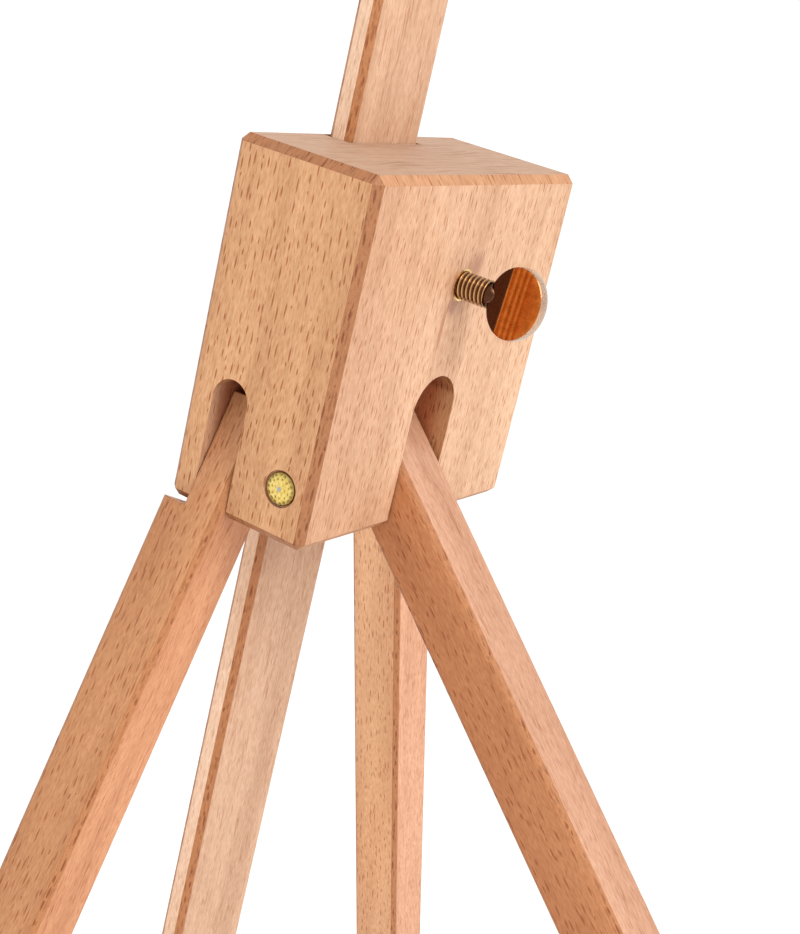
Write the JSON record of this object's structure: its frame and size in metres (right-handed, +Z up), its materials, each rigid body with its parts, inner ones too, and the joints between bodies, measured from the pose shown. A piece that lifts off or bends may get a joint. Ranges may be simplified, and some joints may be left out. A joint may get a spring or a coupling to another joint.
{
  "type": "tabletop easel",
  "caption": "Wooden tripod table easel: a head block with hinged folding legs carries a sliding mast with a canvas ledge, a top canvas holder and brass thumb screws.",
  "frame": {"origin": "centre of the object's bounding box on the table plane, under the head block's middle plane", "axes": "+Z up, the canvas side faces -Y, the rear leg points to +Y, +X is the left-hand side seen from behind; the head and mast lean back towards +Y"},
  "size_m": [0.3156, 0.2942, 0.5286],
  "materials": {
    "beech_head": "oiled beech, satin",
    "beech_mast": "oiled beech, satin",
    "beech_leg": "oiled beech, satin",
    "beech_ledge": "oiled beech, satin",
    "beech_holder": "oiled beech, satin",
    "brass_hardware": "brass plated steel, bright",
    "brass_rivet": "brass plated, hammered",
    "steel_screws": "zinc plated",
    "rubber_foot": "moulded black rubber"
  },
  "bodies": {
    "head": {"hub_block": "beech_head", "hub_insert": "brass_hardware", "hub_shoe": "brass_hardware", "pin_left": "brass_rivet", "pin_right": "brass_rivet", "pin_rear": "brass_rivet"},
    "mast": {"mast": "beech_mast", "mast_stop": "beech_mast"},
    "leg_left": {"leg_left": "beech_leg", "foot_left": "rubber_foot", "foot_nail_left": "steel_screws"},
    "leg_right": {"leg_right": "beech_leg", "foot_right": "rubber_foot", "foot_nail_right": "steel_screws"},
    "leg_rear": {"leg_rear": "beech_leg", "foot_rear": "rubber_foot", "foot_nail_rear": "steel_screws"},
    "ledge": {"ledge_slider": "beech_ledge", "ledge_shelf": "beech_ledge", "ledge_lip": "beech_ledge", "ledge_insert": "brass_hardware", "ledge_shoe": "brass_hardware", "ledge_wood_screws": "steel_screws"},
    "holder": {"holder_slider": "beech_holder", "holder_jaw": "beech_holder", "holder_insert": "brass_hardware", "holder_shoe": "brass_hardware", "holder_wood_screws": "steel_screws"},
    "head_thumb_screw": {"hub_screw": "brass_hardware"},
    "ledge_thumb_screw": {"ledge_screw": "brass_hardware"},
    "holder_thumb_screw": {"holder_screw": "brass_hardware"}
  },
  "joints": [
    {"name": "leg_left_fold", "type": "hinge", "parent": "head", "child": "leg_left", "pos_m": [0.0296, -0.05064, 0.30073], "axis": [0, 0.9646, -0.2639], "range_deg": [0, 21]},
    {"name": "leg_right_fold", "type": "hinge", "parent": "head", "child": "leg_right", "pos_m": [-0.0296, -0.05064, 0.30073], "axis": [0, 0.9646, -0.2639], "range_deg": [-21, 0]},
    {"name": "leg_rear_fold", "type": "hinge", "parent": "head", "child": "leg_rear", "pos_m": [0, -0.03207, 0.29565], "axis": [1, 0, 0], "range_deg": [-45.4, 0]},
    {"name": "mast_slide", "type": "slide", "parent": "head", "child": "mast", "axis": [0, 0.2639, 0.9646], "range_m": [-0.055, 0.11]},
    {"name": "ledge_slide", "type": "slide", "parent": "mast", "child": "ledge", "axis": [0, 0.2639, 0.9646], "range_m": [-0.005, 0.06]},
    {"name": "holder_slide", "type": "slide", "parent": "mast", "child": "holder", "axis": [0, 0.2639, 0.9646], "range_m": [-0.055, 0.02]},
    {"name": "head_screw_turn", "type": "hinge", "parent": "head", "child": "head_thumb_screw", "pos_m": [0, -0.03893, 0.34107], "axis": [0, 0.9646, -0.2639], "range_deg": [0, 720]},
    {"name": "ledge_screw_turn", "type": "hinge", "parent": "ledge", "child": "ledge_thumb_screw", "pos_m": [0, -0.11153, 0.09843], "axis": [0, -0.9646, 0.2639], "range_deg": [0, 720]},
    {"name": "holder_screw_turn", "type": "hinge", "parent": "holder", "child": "holder_thumb_screw", "pos_m": [0, 0.00139, 0.48846], "axis": [0, 0.9646, -0.2639], "range_deg": [0, 720]}
  ]
}
